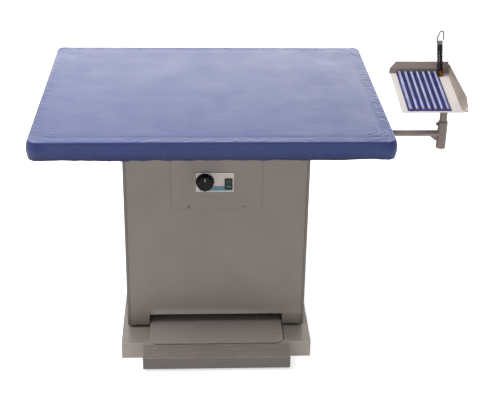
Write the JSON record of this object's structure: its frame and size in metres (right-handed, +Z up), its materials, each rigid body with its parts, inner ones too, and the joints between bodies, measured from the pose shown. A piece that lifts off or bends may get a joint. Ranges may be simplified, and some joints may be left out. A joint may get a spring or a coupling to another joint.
{
  "type": "vacuum ironing table",
  "caption": "Vacuum ironing table: heated, padded board on a cabinet with a suction fan, a foot treadle, a thermostat and switch, and a swivelling iron rest with a cable support.",
  "frame": {"origin": "middle of the whole footprint box, iron rest included, on the floor", "axes": "+X along the board to the operator's right, +Y away from the operator, +Z up"},
  "size_m": [1.453, 0.96, 1.158],
  "materials": {
    "cover_cloth": "tight woven cloth",
    "felt": "thick felt",
    "aluminium_plate": "bare sheet",
    "galvanised": "galvanised sheet",
    "element_steel": "heat-dulled tube",
    "taupe_paint": "fine satin powder coat",
    "zinc": "zinc plated",
    "dark_board": "dark resin board",
    "dark_metal": "satin black",
    "black_plastic": "moulded",
    "fascia_plastic": "light grey with a teal stripe",
    "thermostat_metal": "drawn sheet",
    "knob_plastic": "black moulded",
    "rocker_green": "dark green moulded",
    "base_paint": "satin powder coat, slightly scuffed",
    "black_rubber": "moulded rubber",
    "motor_paint": "grey-blue enamel",
    "cast_aluminium": "cast",
    "treadle_paint": "satin powder coat, worn",
    "bronze": "sintered bronze",
    "spring_steel": "drawn wire",
    "arm_paint": "satin powder coat",
    "tray_paint": "light cream enamel, pale bronze on the walls",
    "mat_rubber": "blue silicone rubber",
    "bright_brass": "turned brass",
    "dark_spring": "oil-darkened spring wire",
    "hook_wire": "bright wire and dark cap"
  },
  "bodies": {
    "stand": {"board_cover": "cover_cloth", "felt_pad": "felt", "perforated_plate": "aluminium_plate", "plenum_pan": "galvanised", "heating_element": "element_steel", "element_clips": "galvanised", "plate_supports": "galvanised", "board_rails": "taupe_paint", "rail_bolts": "zinc", "cabinet_top": "taupe_paint", "cabinet_floor": "dark_board", "corner_posts": "taupe_paint", "side_panel_left": "taupe_paint", "side_panel_right": "taupe_paint", "front_panel": "taupe_paint", "rear_panel": "taupe_paint", "exhaust_grille": "dark_metal", "cable_gland": "black_plastic", "control_panel": "taupe_paint", "panel_screws": "zinc", "fascia": "fascia_plastic", "thermostat_body": "thermostat_metal", "switch_housing": "black_plastic", "base_top": "base_paint", "base_skirts": "base_paint", "rubber_feet": "black_rubber", "fan_shelf": "galvanised", "fan_scroll": "galvanised", "motor_body": "motor_paint", "suction_duct": "galvanised", "exhaust_duct": "galvanised", "pivot_brackets": "galvanised", "treadle_buffers": "black_rubber", "pivot_shaft": "zinc", "return_springs": "spring_steel", "spring_bar": "galvanised", "foot_switch": "black_plastic", "switch_stand": "galvanised", "arm_socket": "taupe_paint"},
    "treadle": {"treadle_plate": "treadle_paint", "treadle_tread": "treadle_paint", "pivot_tube": "zinc", "pivot_bushes": "bronze"},
    "plunger": {"switch_plunger": "zinc"},
    "knob": {"thermostat_knob": "knob_plastic", "thermostat_spindle": "zinc"},
    "rocker": {"switch_rocker": "rocker_green"},
    "impeller": {"fan_impeller": "cast_aluminium", "motor_shaft": "zinc"},
    "clamp": {"hand_screw": "black_plastic"},
    "arm": {"rest_arm": "arm_paint", "rest_sleeve": "arm_paint"},
    "lock": {"set_screw": "zinc"},
    "post": {"rest_post": "arm_paint"},
    "tray": {"tray_bracket": "arm_paint", "rest_tray": "tray_paint", "iron_mat": "mat_rubber", "brass_socket": "bright_brass", "support_spring": "dark_spring"},
    "hook": {"cable_hook": "hook_wire"}
  },
  "joints": [
    {"name": "treadle_press", "type": "hinge", "parent": "stand", "child": "treadle", "pos_m": [-0.1105, -0.1835, 0.101], "axis": [1, 0, 0], "range_deg": [0, 1.8], "stiffness_Nm_per_rad": 40, "springref_deg": -17.19, "deforming": ["return_springs"]},
    {"name": "plunger_lift", "type": "slide", "parent": "stand", "child": "plunger", "axis": [0, 0, 1], "range_m": [0, 0.0012]},
    {"name": "knob_turn", "type": "hinge", "parent": "stand", "child": "knob", "pos_m": [-0.151, -0.286, 0.666], "axis": [0, -1, 0], "range_deg": [0, 270]},
    {"name": "rocker_tilt", "type": "hinge", "parent": "stand", "child": "rocker", "pos_m": [-0.069, -0.277, 0.658], "axis": [1, 0, 0], "range_deg": [0, 14]},
    {"name": "impeller_spin", "type": "hinge", "parent": "stand", "child": "impeller", "pos_m": [-0.1105, -0.03, 0.47], "axis": [0, 0, 1], "continuous": true},
    {"name": "clamp_turn", "type": "hinge", "parent": "stand", "child": "clamp", "pos_m": [0.4315, -0.21, 0.79], "axis": [0, 0, 1], "range_deg": [0, 180]},
    {"name": "arm_slide", "type": "slide", "parent": "stand", "child": "arm", "axis": [1, 0, 0], "range_m": [-0.08, 0.04]},
    {"name": "lock_turn", "type": "hinge", "parent": "arm", "child": "lock", "pos_m": [0.655, -0.21, 0.853], "axis": [1, 0, 0], "range_deg": [0, 180]},
    {"name": "post_slide", "type": "slide", "parent": "arm", "child": "post", "axis": [0, 0, 1], "range_m": [-0.03, 0.05]},
    {"name": "tray_swivel", "type": "hinge", "parent": "post", "child": "tray", "pos_m": [0.6795, -0.21, 0.956], "axis": [0, 0, 1], "range_deg": [-90, 90]},
    {"name": "cable_flex", "type": "hinge", "parent": "tray", "child": "hook", "pos_m": [0.66967, -0.10841, 1.06406], "axis": [0, 1, 0], "range_deg": [-20, 20], "stiffness_Nm_per_rad": 2, "deforming": ["support_spring"]}
  ],
  "couplings": [
    {"joint": "plunger_lift", "follows": "treadle_press", "m_per_rad": 0.028}
  ]
}
